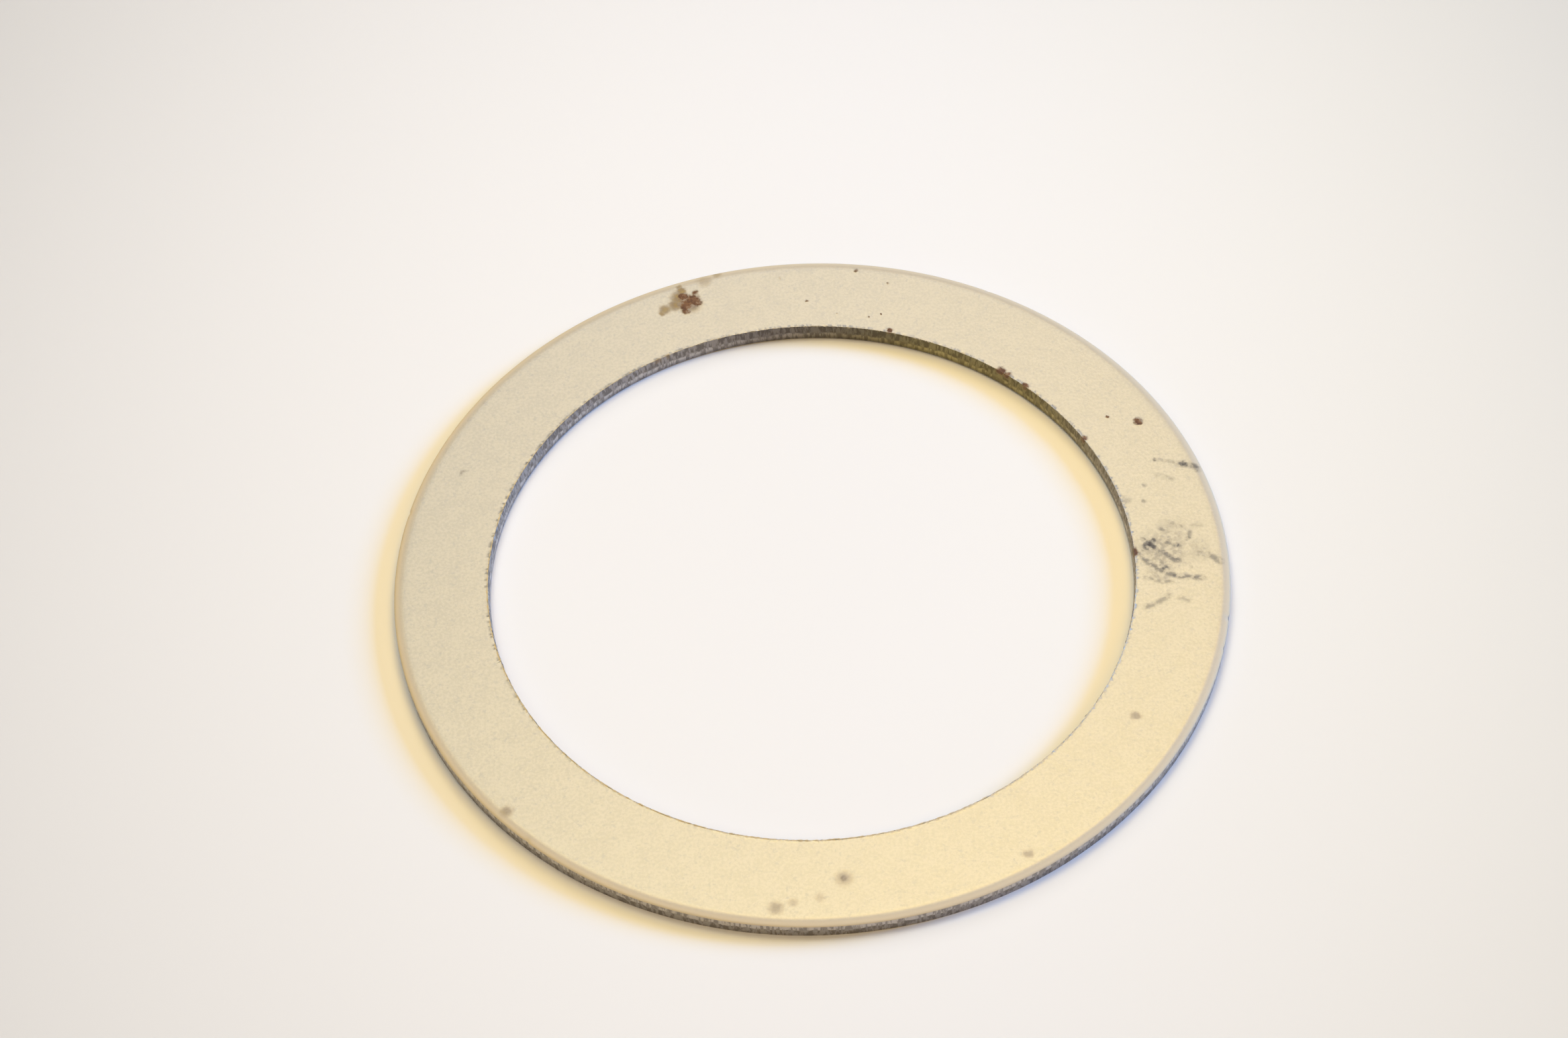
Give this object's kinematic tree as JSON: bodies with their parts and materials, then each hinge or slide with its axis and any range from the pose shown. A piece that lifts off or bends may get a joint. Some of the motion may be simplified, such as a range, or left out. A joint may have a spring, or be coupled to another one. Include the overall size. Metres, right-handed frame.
{
  "type": "flat washer",
  "caption": "Large thin flat washer: a plain round ring stamped from steel sheet, with a wide bore, that spreads load or takes up space on a shaft.",
  "frame": {"origin": "centre of the bore, on the face that the washer rests on", "axes": "+Z along the bore axis, towards the face whose outer rim is rolled over by the stamping; X and Y lie in the resting face and are equal, because the ring is round"},
  "size_m": [0.0724, 0.0724, 0.0016],
  "materials": {
    "sheet_steel": "tumbled matte zinc-plated or plain steel, fine grain, dull grey speckle, dark sheared walls, a few rust specks"
  },
  "bodies": {
    "root": {"washer_ring": "sheet_steel"}
  },
  "joints": []
}
